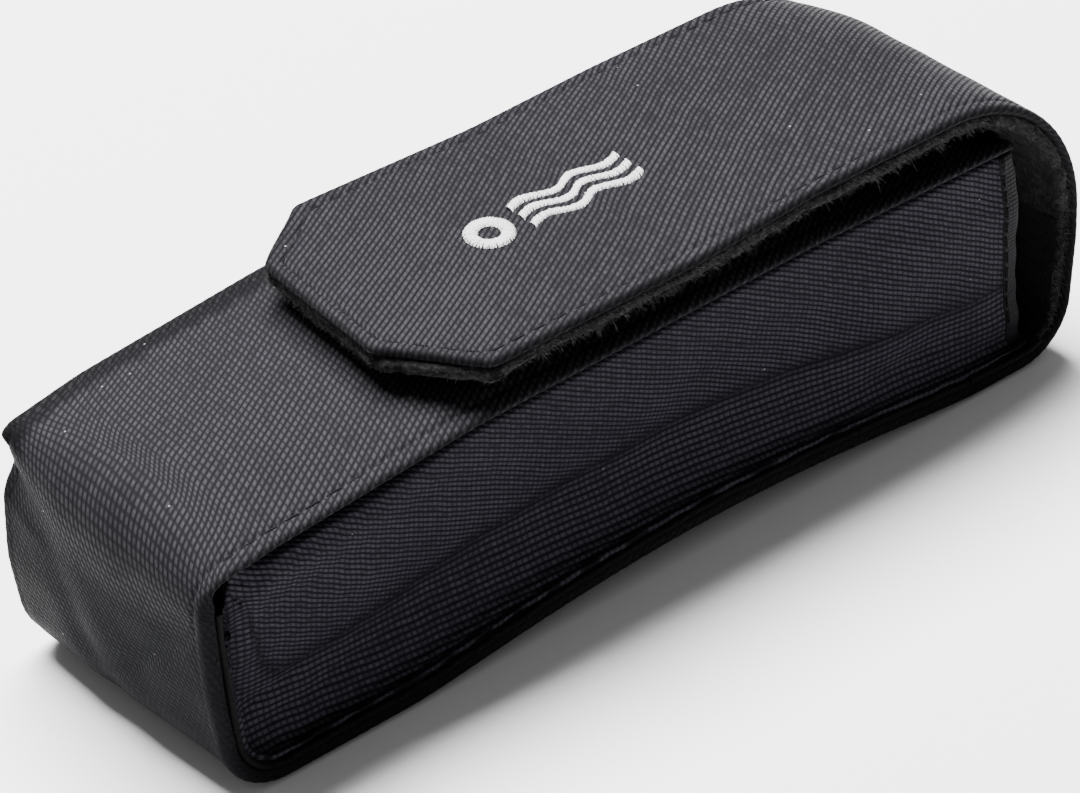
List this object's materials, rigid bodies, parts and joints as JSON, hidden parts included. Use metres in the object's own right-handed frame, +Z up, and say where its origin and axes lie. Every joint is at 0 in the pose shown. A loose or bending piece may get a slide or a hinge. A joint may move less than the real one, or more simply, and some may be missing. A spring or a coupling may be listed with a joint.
{
  "type": "belt pouch",
  "caption": "Padded woven-nylon belt pouch for a slim hand-held test instrument, with a fold-over flap, hook-and-loop closure, side gussets and a belt loop.",
  "frame": {"origin": "under the middle of the pouch, on the surface that its back lies on", "axes": "+X along the pouch from the closed end to the mouth, +Y across it, +Z up out of the front panel"},
  "size_m": [0.2002, 0.06, 0.0624],
  "materials": {
    "outer_cloth": "coarse plain-woven nylon, semi-matt",
    "gusset_cloth": "plain-woven nylon, semi-matt",
    "gusset_lining": "fine woven lining, matt",
    "pile_lining": "brushed loop pile, matt",
    "binding_tape": "ribbed tape, matt",
    "thread": "twisted polyester thread, semi-matt",
    "foam": "closed-cell foam, matt",
    "webbing": "woven nylon webbing, semi-matt",
    "loop_tape": "loop pile, matt",
    "hook_tape": "moulded hooks, semi-matt",
    "emblem_thread": "satin-stitched rayon thread, soft sheen"
  },
  "bodies": {
    "pouch": {"body_outer": "outer_cloth", "front_foam": "foam", "end_foam": "foam", "back_foam": "foam", "body_lining": "pile_lining", "left_gusset": "gusset_cloth", "right_gusset": "gusset_cloth", "left_gusset_lining": "gusset_lining", "right_gusset_lining": "gusset_lining", "front_mouth_binding": "binding_tape", "left_mouth_binding": "binding_tape", "right_mouth_binding": "binding_tape", "front_seam_thread": "thread", "flange_thread": "thread", "loop_patch": "loop_tape", "loop_patch_thread": "thread", "belt_loop": "webbing", "belt_loop_thread": "thread"},
    "flap_riser": {"riser_outer": "outer_cloth", "riser_foam": "foam", "riser_lining": "pile_lining", "riser_thread": "thread"},
    "flap_lid": {"lid_outer": "outer_cloth", "lid_foam": "foam", "lid_lining": "pile_lining", "lid_thread": "thread", "hook_patch": "hook_tape", "emblem": "emblem_thread"}
  },
  "joints": [
    {"name": "riser_fold", "type": "hinge", "parent": "pouch", "child": "flap_riser", "pos_m": [0.0885, 0, 0], "axis": [0, 1, 0], "range_deg": [0, 135]},
    {"name": "lid_fold", "type": "hinge", "parent": "flap_riser", "child": "flap_lid", "pos_m": [0.07, 0, 0.062], "axis": [0, 1, 0], "range_deg": [0, 90]}
  ]
}
